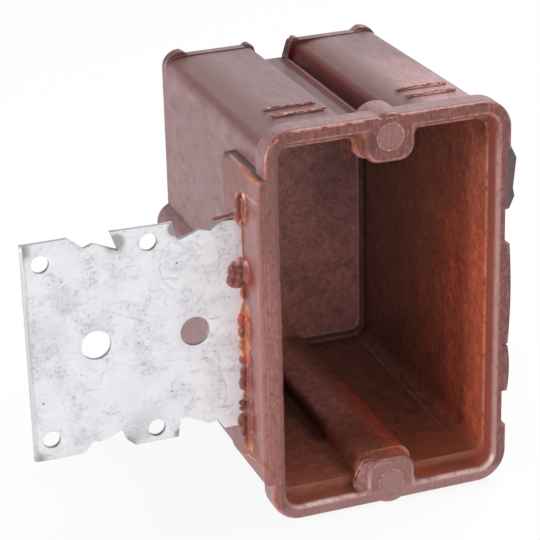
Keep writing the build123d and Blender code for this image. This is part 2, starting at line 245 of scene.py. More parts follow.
# raw edges of resin: the pad's foot, the screw boss, the rim
FOOT = (
    ((-30.45, 14.4, -34.7), 0.30), ((-30.45, 9.8, -33.1), 0.38), ((-30.45, 4.6, -32.1), 0.36),
    ((-30.45, 1.6, -32.1), 0.34), ((-30.3, 0.55, -33.4), 0.30))
CURL = (
    ((-8.5, 2.2, -40.6), 0.16), ((-8.2, 1.6, -39.0), 0.20), ((-7.75, 1.0, -37.2), 0.22),
    ((-7.0, 0.8, -35.8), 0.22), ((-5.8, 0.7, -35.0), 0.20), ((-4.6, 0.6, -35.1), 0.16),
    ((-3.6, 0.5, -35.8), 0.12))
BESIDE_BOSS = (
    ((-6.2, 1.5, -37.5), (1.5, 1.45, 1.9)), ((-6.5, 1.6, -39.6), (1.5, 1.55, 1.9)),
    ((-7.0, 1.8, -41.6), (1.7, 1.75, 1.7)), ((-5.2, 1.5, -36.5), (1.8, 1.45, 1.1)),
    ((-6.0, 3.2, -39.4), (1.6, 2.6, 3.4)), ((-5.2, 0.8, -38.3), (1.2, 0.8, 2.2)),
    ((-5.6, 0.8, -40.9), (1.3, 0.75, 1.8)))
RIM_BURRS = (
    ((-26.9, 0.45, 44.4), 0.26), ((-27.7, 0.5, 43.2), 0.34), ((-27.3, 0.4, 41.4), 0.24),
    ((-28.3, 0.7, 39.4), 0.34), ((-28.4, 0.7, 38.3), 0.28), ((-28.4, 0.7, 36.9), 0.32),
    ((-28.45, 0.7, 35.2), 0.30), ((-28.3, 0.6, 33.9), 0.22), ((-28.4, 0.7, 31.2), 0.24),
    ((-28.0, 0.5, 41.9), 0.26), ((-25.6, 0.5, 45.3), 0.20), ((-24.0, 0.55, 45.8), 0.18),
    ((-4.9, 0.5, 46.0), 0.30), ((1.2, 0.5, 46.6), 0.20), ((7.9, 0.6, 46.0), 0.22),
    ((12.4, 0.6, 45.9), 0.16), ((-26.1, 0.5, 13.4), 0.22), ((-26.0, 0.5, 11.8), 0.16),
    ((-26.1, 0.5, -12.9), 0.20), ((-26.0, 0.5, -15.2), 0.16), ((-4.6, 0.35, -42.6), 0.20),
    ((-3.6, 0.35, -43.1), 0.18), ((-22.0, 0.6, 46.0), 0.18), ((-15.0, 0.6, 46.0), 0.14))


class Wire:
    """An output socket that takes Python arithmetic."""

    def __init__(self, socket):
        self.socket = socket

    def make(self, kind, settings=None, sockets=None, out=0):
        """Add a node: its settings come first, then the values or links of its sockets."""
        node = self.socket.id_data.nodes.new(kind)
        for name, value in (settings or {}).items():
            if name == "stops":
                ramp = node.color_ramp
                while len(ramp.elements) < len(value):
                    ramp.elements.new(0.5)
                for element, (place, colour) in zip(ramp.elements, value):
                    element.position = place
                    element.color = (*colour, 1.0)
            else:
                setattr(node, name, value)
        for name, value in (sockets or {}).items():
            plug(node.inputs[name], value)
        return Wire(node.outputs[out])

    def math(self, operation, *others, clamp=False):
        values = dict(enumerate((self,) + others))
        return self.make("ShaderNodeMath", {"operation": operation, "use_clamp": clamp}, values)

    def __add__(self, other): return self.math("ADD", other)
    def __radd__(self, other): return self.math("ADD", other)
    def __sub__(self, other): return self.math("SUBTRACT", other)
    def __rsub__(self, other): return (self * -1.0).math("ADD", other)
    def __mul__(self, other): return self.math("MULTIPLY", other)
    def __rmul__(self, other): return self.math("MULTIPLY", other)
    def __truediv__(self, other): return self.math("DIVIDE", other)
    def __pow__(self, other): return self.math("POWER", other)
    def __abs__(self): return self.math("ABSOLUTE")

    def either(self, other): return self.math("MAXIMUM", other)
    def both(self, other): return self.math("MINIMUM", other)

    def up(self, low, high):
        """0 below low, 1 above high, smooth between; the other way round when low is the larger."""
        flip = low > high
        ends = (high, low) if flip else (low, high)
        sockets = {"Value": self, "From Min": ends[0], "From Max": ends[1]}
        if flip:
            sockets.update({"To Min": 1.0, "To Max": 0.0})
        return self.make("ShaderNodeMapRange", {"interpolation_type": "SMOOTHSTEP"}, sockets)

    def near(self, place, reach, core):
        """1 within core of a place, falling smoothly to 0 at the reach."""
        return abs(self - place).up(reach, core)

    def mix(self, other, share):
        """This colour turning into another one."""
        return self.make("ShaderNodeMix", {"data_type": "RGBA"}, {0: share, 6: self, 7: other}, out=2)

    def layered(self, *layers):
        """This colour under a row of others, each showing where its mask is 1."""
        colour = self
        for other, mask in layers:
            colour = colour.mix(other, mask)
        return colour

    def tint(self, shade):
        """This colour made lighter or darker by a number."""
        grey = self.make("ShaderNodeCombineColor", None, {0: shade, 1: shade, 2: shade})
        return self.make("ShaderNodeMix", {"data_type": "RGBA", "blend_type": "MULTIPLY"},
                         {0: 1.0, 6: self, 7: grey}, out=2)


def plug(socket, value):
    """Link a wire to a socket, or set its plain value."""
    if isinstance(value, Wire):
        socket.id_data.links.new(value.socket, socket)
    elif isinstance(value, tuple) and socket.type == "RGBA" and len(value) == 3:
        socket.default_value = (*value, 1.0)
    else:
        socket.default_value = value


def any_of(*masks):
    """The strongest of several masks."""
    return reduce(Wire.either, masks)


def length(a, b):
    return (a * a + b * b) ** 0.5


def box_gap(x, z, half_x, half_z, corner):
    """Signed distance to a rounded rectangle in the XZ plane."""
    over_x = abs(x) - (half_x - corner)
    over_z = abs(z) - (half_z - corner)
    inside = over_x.either(over_z).both(0.0)
    return length(over_x.either(0.0), over_z.either(0.0)) + inside - corner


class Finish:
    """A new material and the point of the object, in millimetres, that its nodes start from."""

    def __init__(self, name):
        self.material = bpy.data.materials.new(name)
        self.material.use_nodes = True
        tree = self.material.node_tree
        self.shader = tree.nodes["Principled BSDF"]
        coords = Wire(tree.nodes.new("ShaderNodeTexCoord").outputs["Object"])
        self.point = coords.make("ShaderNodeVectorMath", {"operation": "SCALE"},
                                 {0: coords, "Scale": 1 / MM})
        split = self.point.make("ShaderNodeSeparateXYZ", None, {0: self.point}).socket.node
        self.x, self.y, self.z = (Wire(socket) for socket in split.outputs)

    def vector(self, operation, *others, start=None):
        """Vector Math on the point, or on another vector."""
        start = self.point if start is None else start
        return start.make("ShaderNodeVectorMath", {"operation": operation},
                          dict(enumerate((start,) + others)))

    def colour(self, rgb):
        return self.point.make("ShaderNodeMix", {"data_type": "RGBA"}, {0: 0.0, 6: rgb, 7: rgb}, out=2)

    def grain(self, size, stretch=(1, 1, 1), detail=2.0, rough=0.5, seed=0.0):
        """Noise from 0 to 1 whose features are about this many millimetres across."""
        place = self.vector("MULTIPLY_ADD", stretch, (seed, seed * 1.7, seed * 0.6))
        return place.make("ShaderNodeTexNoise", None,
                          {"Vector": place, "Scale": 1 / size, "Detail": detail, "Roughness": rough})

    def cells(self, size, out="Distance"):
        """Cells about this many millimetres across: the distance to each one's heart, or its colour."""
        return self.point.make("ShaderNodeTexVoronoi", None,
                               {"Vector": self.point, "Scale": 1 / size}, out=out)

    def near_line(self, a, b, radius):
        """1 on the segment from a to b, falling smoothly to 0 at the radius."""
        along = Vector(b) - Vector(a)
        rel = self.vector("SUBTRACT", tuple(a))
        dot = rel.make("ShaderNodeVectorMath", {"operation": "DOT_PRODUCT"},
                       {0: rel, 1: tuple(along / along.length_squared)}, out="Value")
        share = dot.math("ADD", 0.0, clamp=True)
        foot = rel.make("ShaderNodeVectorMath", {"operation": "SCALE"}, {0: tuple(along), "Scale": share})
        gap = rel.make("ShaderNodeVectorMath", {"operation": "DISTANCE"}, {0: rel, 1: foot}, out="Value")
        return gap.up(radius, radius * 0.35)

    def blot(self, centre, radii, soft=0.5):
        """1 in the middle of an ellipsoid, falling smoothly to 0 at its surface."""
        rel = self.vector("DIVIDE", radii, start=self.vector("SUBTRACT", centre))
        gap = rel.make("ShaderNodeVectorMath", {"operation": "LENGTH"}, {0: rel}, out="Value")
        return gap.up(1.0, soft)

    def bump(self, height, distance, strength, under=None):
        """Turn a height from 0 to 1 into a normal; distance is that height in millimetres."""
        sockets = {"Height": height, "Distance": distance * MM, "Strength": strength}
        if under is not None:
            sockets["Normal"] = under
        return height.make("ShaderNodeBump", None, sockets)

    def finish(self, colour, roughness, normal, **plain):
        plug(self.shader.inputs["Base Color"], colour)
        plug(self.shader.inputs["Roughness"], roughness)
        plug(self.shader.inputs["Normal"], normal)
        for name, value in plain.items():
            plug(self.shader.inputs[name], value)
        return self.material


class Moulding(Finish):
    """Thermoset with filler: mauve outside, redder on the rim, orange-brown where it is worn or inside, with
    light and shade painted into many places.
    """

    def __init__(self):
        super().__init__("mottled_thermoset")
        x, y, z = self.x, self.y, self.z
        self.height = abs(z)        # up or down from the middle: top and underside are alike
        hood = box_gap(x, self.height - HOOD_Z, *HOOD)
        self.lip = box_gap(x, z, *OPENING).either(hood * -1.0)
        self.outer = box_gap(x, z, *RIM)

        self.wide = self.grain(9.0, detail=3.0)
        self.mottle = self.grain(2.4, detail=4.0, rough=0.6)
        self.drawn = self.grain(1.5, stretch=(1.0, 0.26, 0.5), detail=5.0, rough=0.68, seed=11.0)
        self.ragged = self.grain(1.6, detail=3.0, seed=2.0)

        # which skin: 1 inside the box, 1 on the rim face, 1 on the pad's side
        channel = abs(x).up(6.1, 5.5) * y.up(5.5, 7.0)
        roof = WALLS[1] - WALL_DRAFT * y
        walls = box_gap(x, z, *WALLS).either(self.height - roof + (roof - RIDGE_Z) * channel)
        beyond_lip = walls.up(0.1, -0.2) * y.up(4.8, 5.5) * y.up(72.6, 72.2)
        in_mouth = self.lip.up(0.5, 0.0) * y.up(0.9, 1.7) * y.up(5.7, 5.3)
        self.within = beyond_lip.either(in_mouth)
        self.front = y.up(1.6, 0.7) * (1.0 - self.within)
        self.side = x.up(-30.0, -30.4)
        self.right_wall = x.up(22.5, 24.5)
        # where the opening's edge catches the light, on the right and at the bottom, for painted highlights
        self.highlit = (x.up(17.0, 23.5) * z.up(39.0, 33.0)).either(z.up(-34.0, -41.0))

    def inside(self):
        """Orange-brown inside, with painted light near the mouth, on the right wall, on the ridge and at the
        floor's front, painted shade in the valley and the panel's groove, painted highlights along the
        wall's foot and the panel's edges, darker at the back panel's upper right, and a pebbled panel at the
        back.
        """
        x, y, z, right_wall = self.x, self.y, self.z, self.right_wall
        uneven = self.grain(9.0, stretch=(1.0, 1.0, 0.5), detail=4.0, rough=0.6, seed=33.0) - 0.5
        # painted light: how near the mouth a point is, for the brightening below
        near = (y + uneven * 34.0).up(60.0, 5.0) ** 1.3
        hang = self.grain(5.0, stretch=(1.0, 1.0, 0.55), detail=6.0, rough=0.70, seed=21.0)
        pebbled = self.grain(2.6, detail=6.0, rough=0.95, seed=25.0)
        panel = box_gap(x, z, *BACK_PANEL)
        behind = y.up(68.6, 69.6)
        ridge = z.up(-30.0, -34.5)
        valley = self.near_line((-7.0, 25.0, -40.0), (-7.2, 66.0, -39.0), 4.2)
        low = z.up(-38.6, -39.8)
        from_front = y + uneven * 20.0

        colour = self.colour(INNER)
        # painted light near the mouth, strongest on the right wall
        colour = colour.mix(PAINTED_MOUTH_LIGHT, near * (0.26 + 0.74 * right_wall * (1.0 - 0.72 * z.up(2.0, 34.0))))
        colour = colour.layered(
            # painted light on the ridge's right, towards the front, and on its left, towards the back
            (RIDGE_PAINTED_LIGHT, ridge * x.up(-1.5, 3.0) * x.up(6.6, 5.4) * y.up(56.0, 30.0) * 0.65),
            (RIDGE_BACK_PAINTED_LIGHT, ridge * x.up(3.5, -1.0) * x.up(-6.8, -5.8) * y.up(12.0, 36.0) * 0.8),
            # painted highlight along the foot of the right wall
            (CORNER_HIGHLIGHT, x.near(21.2, 0.40, 0.1) * z.up(-37.0, -38.5) * y.up(12.0, 20.0) * 0.35),
            # painted highlight along the ledge under the back panel
            (PANEL_FOOT_HIGHLIGHT, panel.near(1.9, 0.50, 0.2) * z.up(-37.8, -38.4) * behind * 0.6),
            # painted shadow in the valley left of the ridge
            (VALLEY_SHADE, valley * 0.80),
            # painted light on the floor left of the ridge, towards the front
            (BESIDE_RIDGE_LIGHT, z.up(-36.0, -39.5) * x.up(-8.0, -11.0) * y.up(42.0, 16.0) * 0.6))
        colour = colour.tint(1.0 + (hang - 0.5) * (0.6 + 0.7 * right_wall))
        colour = colour.mix(BACK, behind * panel.up(0.1, -0.3))
        colour = colour.tint(1.08 - 0.42 * behind * x.up(4.0, 14.0) * z.up(-16.0, 10.0))
        colour = colour.tint(1.0 + (pebbled - 0.5) * 3.4)
        colour = colour.tint(1.0 - 0.22 * right_wall * y.up(12.0, 6.0))
        return colour.layered(
            # painted light on the floor near the mouth, right then left
            (SILL_RIGHT_LIGHT, low * x.up(5.0, 9.0) * from_front.up(24.0, 7.0) * 0.75),
            (SILL_LEFT_LIGHT, low * x.up(-8.0, -12.0) * from_front.up(16.0, 6.0) * 0.5),
            # painted highlight round the back panel's edge
            (PANEL_EDGE_HIGHLIGHT, behind * panel.near(-0.15, 0.50, 0.2) * 0.85),
            # painted shade in the groove round the back panel
            (DEEP_SHADE, y.up(68.5, 69.5) * panel.up(0.3, 0.7) * 0.5))

    def skins(self):
        """Base tone of each region, then streaks, mottle, flecks and dots of filler."""
        within, front, wide, mottle, drawn = self.within, self.front, self.wide, self.mottle, self.drawn
        fine = self.grain(0.5, detail=2.0, seed=4.0)
        flecks = self.grain(0.8, stretch=(1.0, 1.0, 0.45), detail=1.0, seed=9.0).up(0.70, 0.78)
        dots = self.cells(1.9).up(0.16, 0.06) * self.grain(7.0, seed=27.0).up(0.42, 0.60)
        outer_skin = (1.0 - within) * (1.0 - front)
        colour = self.colour(MAUVE).layered(
            (ROSE, self.side),
            (RIM_RED, front * 0.92),
            (self.inside(), within),
            (DARK_STREAK, outer_skin * drawn.up(0.52, 0.34) * 0.42),
            (PALE_STREAK, outer_skin * drawn.up(0.52, 0.70) * wide.up(0.40, 0.60) * 0.26))
        shade = (0.84 + 0.32 * wide) * (0.82 + 0.36 * mottle) * (0.74 + 0.52 * fine)
        shade = shade * (1.0 + (drawn - 0.5) * (0.45 * (1.0 - within)))
        return colour.tint(shade).layered(
            (ORANGE, within * mottle.up(0.55, 0.75) * 0.40),
            (SALMON, flecks * (0.10 + 0.45 * within.either(front))),
            (PALE_DOT, dots * within * 0.7))

    def trimmed(self, colour):
        """Short strokes across the rim face, left by trimming."""
        strokes = self.grain(0.55, stretch=(1.0, 0.3, 0.14), detail=2.0, seed=13.0)
        across = self.grain(0.55, stretch=(0.14, 0.3, 1.0), detail=2.0, seed=14.0)
        strokes = strokes + (across - strokes) * self.x.up(25.5, 27.5)
        return colour.tint(1.0 + self.front * (strokes - 0.5) * 1.2)

    def mouth(self, colour):
        """The opening's rounded edge with painted highlights on the right and along the bottom, the redder
        wall behind with painted light low down, and a painted highlight along the step inside the lip.
        """
        x, y, z, lip, ragged = self.x, self.y, self.z, self.lip, self.ragged
        edge = y.up(1.5, 1.0)
        # painted glint on the opening's edge along the bottom
        lip_glint = lip.near(0.40, 0.55, 0.15) * edge * z.up(-37.5, -41.5)
        lip_glint = lip_glint * self.grain(4.0, seed=35.0).up(0.30, 0.50)
        wall = lip.up(0.5, 0.1)
        lip_wall = wall * y.up(1.2, 1.7) * y.up(5.1, 4.4)
        low_wall = lip_wall * z.up(-38.0, -42.0)
        crease = wall * y.near(4.9, 0.55, 0.2)
        return colour.layered(
            # painted highlight on the opening's rounded edge, strongest on the right and along the bottom
            (LILAC_HIGHLIGHT, lip.near(0.50, 0.70, 0.25) * edge * (0.08 + 0.56 * self.highlit) * (0.6 + 0.6 * ragged)),
            # painted glint, brighter to the left
            (PAINTED_GLINT, lip_glint * (0.70 + 0.25 * x.up(-8.0, -16.0))),
            (LIP_WALL, lip_wall * x.up(20.0, 25.0) * 0.75),
            # painted light: the lip's wall lighter low down on the left and more so on the right
            (LIP_LOW_LEFT_LIGHT, low_wall * x.up(-3.0, -8.0) * 0.7),
            (LIP_LOW_RIGHT_LIGHT, low_wall * x.up(0.0, 8.0) * x.up(25.5, 23.0) * 0.8),
            # painted highlight: broken pale line along the step inside the lip, weaker at the bottom
            (SALMON, crease * ragged.up(0.36, 0.55) * (0.6 - 0.45 * z.up(-38.0, -41.0))))

    def worn_rim(self, colour):
        """Worn front edges of the rim and the opening, partly painted highlight, and grit over the face, the
        face lighter and pinker on the left.
        """
        x, y, z, lip, ragged, front = self.x, self.y, self.z, self.lip, self.ragged, self.front
        grit = self.grain(0.9, stretch=(1.0, 1.0, 0.5), detail=4.0, rough=0.7, seed=17.0)
        lip_edge = lip.near(0.75, 0.34, 0.08) * y.up(0.9, 0.3)
        rim_edge = self.outer.near(-0.40, 0.30, 0.08) * y.up(0.9, 0.35)
        upper_left = x.up(12.0, -12.0) * z.up(-20.0, 25.0)
        left_face = x.up(-26.0, -27.0) * front
        return colour.layered(
            # worn edges and painted highlight along the opening's edge and the rim's outer edge
            (LIP_WEAR_AND_GLINT, lip_edge * ragged.up(0.38, 0.54) * (0.55 - 0.36 * self.highlit)),
            (RIM_WEAR_AND_GLINT, rim_edge * ragged.up(0.42, 0.60) * (0.34 + 0.5 * upper_left)),
            # the rim face lighter and pinker on the left, in a grit mottle
            (LEFT_FACE_PALER, left_face * (0.45 + 1.8 * (grit - 0.45))),
            (PALE_GRIT, front * (1.0 - left_face) * grit.up(0.50, 0.68) * 0.60),
            (DARK_GRIT, front * grit.up(0.45, 0.32) * 0.60))

    def left_rail(self, colour):
        """The rim's left side: a dark bitten lip, the pad's shoulder, a painted highlight line down the left
        edge, small chips, and the face darker at its upper left.
        """
        x, y, z, lip, ragged, front = self.x, self.y, self.z, self.lip, self.ragged, self.front
        left_lip = lip.near(0.65, 0.75, 0.45) * x.up(-20.0, -25.0) * y.up(1.5, 0.9)
        bites = any_of(self.blot((-25.4, 0.6, 13.7), (1.0, 2.2, 1.8), 0.7),
                       self.blot((-25.4, 0.6, -13.1), (1.0, 2.2, 2.3), 0.7))
        # painted highlight: broken pale line down the rim's left edge
        left_edge_glint = x.near(-29.35, 0.35, 0.1) * front
        left_edge_glint = left_edge_glint * self.grain(5.0, stretch=(1, 1, 0.4), seed=23.0).up(0.40, 0.55)
        chips = self.grain(0.65, stretch=(0.8, 1.0, 1.0), detail=3.0, seed=37.0).up(0.63, 0.72)
        return colour.layered(
            (LEFT_LIP, left_lip * (0.45 + 0.5 * ragged)),
            (LEFT_LIP_WEAR, left_lip * lip.near(0.25, 0.25, 0.06) * ragged.up(0.48, 0.62) * 0.45),
            (BITE, bites * 0.85),
            (SHOULDER, x.up(-29.9, -30.3) * y.up(1.1, 0.5) * z.up(34.0, 28.0) * 0.55),
            (LEFT_EDGE_HIGHLIGHT, left_edge_glint * z.up(36.0, 27.0) * 0.35),
            (CHIP, chips * ragged.up(0.44, 0.56) * front * x.up(-20.0, -26.0) * 0.6),
            (UPPER_LEFT, front * x.up(-20.0, -25.5) * z.up(6.0, 26.0) * (0.25 + 0.35 * self.mottle)))

    def rails_and_bosses(self, colour):
        """Painted highlight on the bottom rail and the rim's lit top, painted shade at the upper boss's
        root, and the bosses with their crinkled discs, the lower boss and disc paler with painted highlight.
        """
        x, y, z, front, mottle, wide = self.x, self.y, self.z, self.front, self.mottle, self.wide
        # painted highlight: the rim's bottom rail paler and lighter, and the rim's top lighter
        bottom = front * z.up(-42.0, -44.0)
        from_boss = self.height - BOSS_Z
        disc = length(x, from_boss).up(2.75, 2.5) * y.up(0.9, 0.6)
        lower_boss_glint = z.up(-33.5, -35.0) * front * abs(x).up(8.5, 7.0)
        colour = colour.mix(BOTTOM_RAIL_HIGHLIGHT, bottom * (0.25 + 0.4 * wide))
        colour = colour.tint(1.0 + 0.22 * bottom + 0.34 * z.up(45.4, 46.2) * (1.0 - front))
        return colour.layered(
            # painted shade at the left root of the upper boss
            (BOSS_ROOT_SHADE, self.blot((-4.6, 0.6, 40.9), (2.2, 2.4, 3.4)) * 0.75),
            # the disc's tone, with painted highlight added on the lower disc, then painted highlight on the
            # lower boss's face
            (DISC, disc * (0.35 + 0.4 * mottle) + disc * z.up(0.0, -1.0) * 0.2),
            (LOWER_BOSS_HIGHLIGHT, lower_boss_glint * (0.15 + 0.55 * wide)))

    def outside(self, colour):
        """Channel, ramp and ledge, the right block's flank and top, rear tips: painted shade on the
        channel's side and floor, the flank, the crowned left edges, the channel's far lip, the rear tips and
        the rear step; painted highlights on the ledge, the left block's brink and the right block's lit top.
        """
        x, y, height, mottle = self.x, self.y, self.height, self.mottle
        skin = (1.0 - self.within) * y.up(6.5, 8.0)
        above_floor = height.up(36.6, 37.2)
        channel_shade = x.up(1.9, 2.4) * x.up(7.4, 6.0) * height.up(42.0, 40.0)
        flank = x.near(6.5, 4.5, 1.5) * height.up(37.2, 38.0) * height.up(43.0, 41.9)
        lit_top = x.up(10.0, 19.0) * height.up(42.2, 42.6) * y.up(66.0, 45.0)
        # painted shade: the left-facing crowned edges of both blocks
        bend = x.up(-14.5, -21.5).either(x.up(5.6, 6.0) * x.up(16.0, 9.0))
        floor = abs(x).up(2.2, 1.8) * height.up(39.0, 38.4) * above_floor
        far_lip = x.near(-3.9, 0.30, 0.08) * height.up(39.0, 38.6)
        ledge = x.near(3.75, 0.38, 0.12) * height.up(39.0, 38.6) * above_floor
        brink = x.near(-5.3, 0.45, 0.1) * height.up(41.9, 42.3)
        tips = any_of(self.blot((-6.2, 71.5, 43.2), (2.6, 2.6, 1.6)),
                      self.blot((26.0, 71.0, 42.6), (3.0, 2.0, 1.6)))
        # painted shade down the channel's right side
        colour = colour.mix(CHANNEL_SIDE_SHADE, channel_shade * skin * above_floor * 0.78)
        # painted shade on the right block's left flank
        colour = colour.mix(FLANK_SHADE, flank * skin * (0.55 + 0.60 * mottle))
        colour = colour.tint(1.0 + lit_top * skin)
        return colour.layered(
            # painted shade on the crowned left edges
            (CROWN_SHADE, height.up(40.2, 41.2) * skin * bend * (0.36 + 0.60 * self.drawn)),
            # painted shade on the channel floor
            (CHANNEL_FLOOR_SHADE, floor * skin * 0.42),
            # painted shadow line at the channel's far lip
            (DEEP_SHADE, far_lip * skin * 0.4),
            # painted highlights on the ledge by the ramp and on the left block's brink
            (LEDGE_HIGHLIGHT, skin * any_of(ledge * 0.60, brink * 0.7)),
            # painted shade at the rear tips
            (DEEP_SHADE, tips * 0.65),
            (REAR_CORNER, self.blot((24.0, 72.5, 43.6), (5.0, 3.0, 1.0)) * 0.6),
            (RELIEF, x.up(28.95, 29.2) * 0.6),
            # painted shade along the rear step across the tops
            (DEEP_SHADE, y.near(70.3, 0.4, 0.1) * height.up(41.0, 42.0) * 0.35))

    def pad(self, colour):
        """The pad's worn upper edge with a painted highlight behind it, painted shade in the corner above it
        and on its upper face, a painted highlight along its step, and the resin that crept over its face.
        """
        x, y, z, ragged, line = self.x, self.y, self.z, self.ragged, self.near_line
        stain = any_of(*(self.blot((PAD_X, place_y, place_z), (1.2, reach_y * 1.6, reach_z * 1.15), 0.45)
                         for place_y, place_z, reach_y, reach_z in STAINS))
        stain = stain * x.up(-30.2, -30.4) * y.up(11.6, 10.8)
        foot = any_of(line((-30.5, 14.0, -33.6), (-30.5, 9.5, -32.0), 1.1),
                      line((-30.5, 9.5, -32.0), (-30.5, 0.6, -31.0), 1.1))
        step = line((PAD_X, 0.4, 31.0), (PAD_X, 10.5, 30.6), 0.4)
        return colour.layered(
            (ORANGE, line((-30.3, 0.3, 35.6), (-30.3, 11.0, 36.0), 0.8) * ragged.up(0.3, 0.5) * 0.85),
            # painted highlight along the pad's top edge, behind the worn part
            (LILAC_HIGHLIGHT, line((-30.3, 10.5, 36.0), (-30.3, 18.5, 36.4), 0.6) * 0.6),
            # painted shade in the corner above the pad, at its far top corner and on its upper face
            (PAD_ABOVE_SHADE, line((-28.6, 0.0, 37.4), (-28.6, 14.5, 37.8), 1.4) * 0.2),
            (PAD_FAR_CORNER_SHADE, self.blot((-29.8, 21.0, 36.4), (2.2, 4.0, 2.6)) * 0.75),
            (PAD_TOP_SHADE, self.side * z.up(25.0, 31.0) * y.up(3.0, 8.0) * 0.40),
            # painted highlight: broken pale line along the step on the pad's side
            (SALMON, step * ragged.up(0.35, 0.5) * 0.5),
            (PAD_SHADOW, line((PAD_X, 0.8, 28.6), (PAD_X, 9.5, 28.2), 1.3) * 0.5),
            (STAIN, stain * (0.62 + 0.65 * self.grain(1.5, seed=7.0))),
            (FOOT_LINE, foot * 0.75))

    def dressed(self):
        colour = self.skins()
        for place in (self.trimmed, self.mouth, self.worn_rim, self.left_rail,
                      self.rails_and_bosses, self.outside, self.pad):
            colour = place(colour)
        rough = 0.25 + 0.12 * self.mottle + 0.06 * self.wide + 0.08 * self.drawn
        waves = self.bump(self.grain(5.0, detail=2.0, seed=5.0), 0.10, 0.6)
        scored = self.bump(self.drawn, 0.05, 0.5, under=waves)
        pits = self.bump(self.grain(0.45, detail=3.0, seed=6.0), 0.03, 0.5, under=scored)
        return self.finish(colour, rough, pits, IOR=RESIN_IOR)


def flash_finish():
    """Resin squeezed out round the bracket: dark red-brown, in places red, orange or pale."""
    f = Finish("resin_flash")
    low, high = RESIN[0][0], RESIN[-1][0]
    height = (f.z + (f.grain(2.0, seed=8.0) - 0.5) * 2.0 - low) / (high - low)
    stops = [((place - low) / (high - low), rgb) for place, rgb in RESIN]
    colour = height.make("ShaderNodeValToRGB", {"stops": stops}, {0: height})
    mottle = f.grain(1.1, detail=4.0, rough=0.65)
    colour = colour.tint(0.55 + 0.9 * mottle)
    colour = colour.mix(SALMON, f.grain(0.7, detail=2.0, seed=3.0).up(0.62, 0.72) * 0.5)
    pits = f.bump(f.grain(0.5, detail=3.0), 0.08, 0.8)
    return f.finish(colour, 0.34 + 0.25 * mottle, pits, IOR=RESIN_IOR)


def burr_finish(name, dark, light):
    """Raw edge of resin, dull and mottled between two tones."""
    f = Finish(name)
    mottle = f.grain(0.9, detail=3.0)
    colour = f.colour(dark).mix(light, mottle.up(0.45, 0.65))
    colour = colour.mix(BURR_BLOT, f.grain(1.4, seed=5.0).up(0.56, 0.70) * 0.7)
    return f.finish(colour, 0.5 + 0.2 * mottle, f.bump(mottle, 0.06, 0.7), IOR=RESIN_IOR)


def zinc_finish():
    """Dull zinc coat: pale, with faint spangle, grey speckle, scuffs and pressed marks."""
    f = Finish("galvanised_zinc")
    x, z = f.x, f.z
    speck = f.grain(0.85, detail=3.0, rough=0.6)
    hair = f.grain(0.75, detail=4.0, rough=0.7, seed=12.0)
    cloud = f.grain(6.0, detail=4.0, rough=0.6, seed=2.0)
    spangle = f.cells(3.2, out="Color")
    spangle = spangle.make("ShaderNodeSeparateColor", None, {0: spangle})
    scuff = f.grain(1.0, stretch=(0.18, 1.0, 1.0), detail=3.0, seed=5.0)

    stamp = length(x - STAMP[0], z - STAMP[1]).near(STAMP_RADIUS, 0.40, 0.12)
    stamp = stamp * x.up(-41.0, -47.0).either(x.up(-37.6, -36.2))
    scratches = [f.near_line((a[0], SHEET_Y, a[1]), (b[0], SHEET_Y, b[1]), radius) * depth
                 for a, b, radius, depth in SCRATCHES]
    pits = [f.blot((place_x, SHEET_Y, place_z), (radius * 0.75, 1.0, radius * 0.75)) * 0.9
            for (place_x, place_z), radius in PITS]
    marks = any_of(stamp * 0.30, *scratches, *pits) * hair.up(0.40, 0.60)
    rubbed = f.blot((-65.0, SHEET_Y, 17.5), (2.6, 1.5, 5.6)) * hair.up(0.45, 0.6)

    colour = f.colour(ZINC).mix(ZINC_CLOUD, cloud.up(0.45, 0.75))
    colour = colour.tint(0.95 + 0.08 * spangle).layered(
        (ZINC_DIRT, speck.up(0.50, 0.72) * cloud.up(0.36, 0.62) * 0.60),
        (ZINC_HAIR, hair.near(0.5, 0.022, 0.006) * cloud.up(0.44, 0.62) * 0.45),
        (ZINC_SCUFF, scuff.up(0.6, 0.75) * 0.35),
        (ZINC_MARK, marks),
        (ZINC_RUBBED, rubbed * 0.45),
        (CUT_EDGE, f.y.near(SHEET_MID_Y, 0.55, 0.40) * 0.9),
        (SHEET_END, x.up(-78.7, -79.3) * 0.6))
    rough = 0.40 + 0.18 * speck + 0.08 * spangle
    waves = f.bump(f.grain(7.0, detail=1.0), 0.12, 0.5)
    specks = f.bump(speck, 0.03, 0.45, under=waves)
    dents = f.bump(1.0 - marks, 0.06, 0.6, under=specks)
    return f.finish(colour, rough, dents, Metallic=0.55)


def add_object(name, mesh, material, sharp_angle=None):
    piece = bpy.data.objects.new(name, mesh)
    bpy.context.scene.collection.objects.link(piece)
    mesh.materials.clear()
    mesh.materials.append(material)
    mesh.shade_smooth()
    if sharp_angle:
        mesh.set_sharp_from_angle(angle=math.radians(sharp_angle))
    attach(piece, "root")
    return piece


